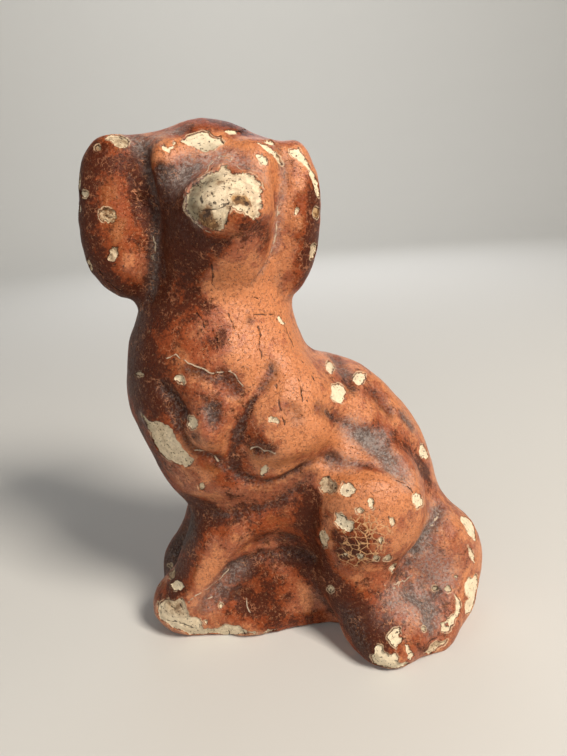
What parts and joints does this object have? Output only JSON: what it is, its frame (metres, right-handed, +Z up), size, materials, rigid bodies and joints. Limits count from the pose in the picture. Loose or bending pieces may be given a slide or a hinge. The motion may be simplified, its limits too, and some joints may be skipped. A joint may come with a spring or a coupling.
{
  "type": "seated dog figure",
  "caption": "Seated spaniel figure cast in one piece, body in profile and head turned to the side, standing on its own flat underside as a shelf ornament.",
  "frame": {"origin": "centre of the bounding box's bottom, on the surface that the figure stands on", "axes": "+Z up through the crown of the head; the body lies along X with the chest towards -X and the tail towards +X; the head looks out of the dog's left side, towards -Y"},
  "size_m": [0.1138, 0.075, 0.157],
  "materials": {
    "crazed_coat": "satin"
  },
  "bodies": {
    "root": {"dog_figure": "crazed_coat"}
  },
  "joints": []
}
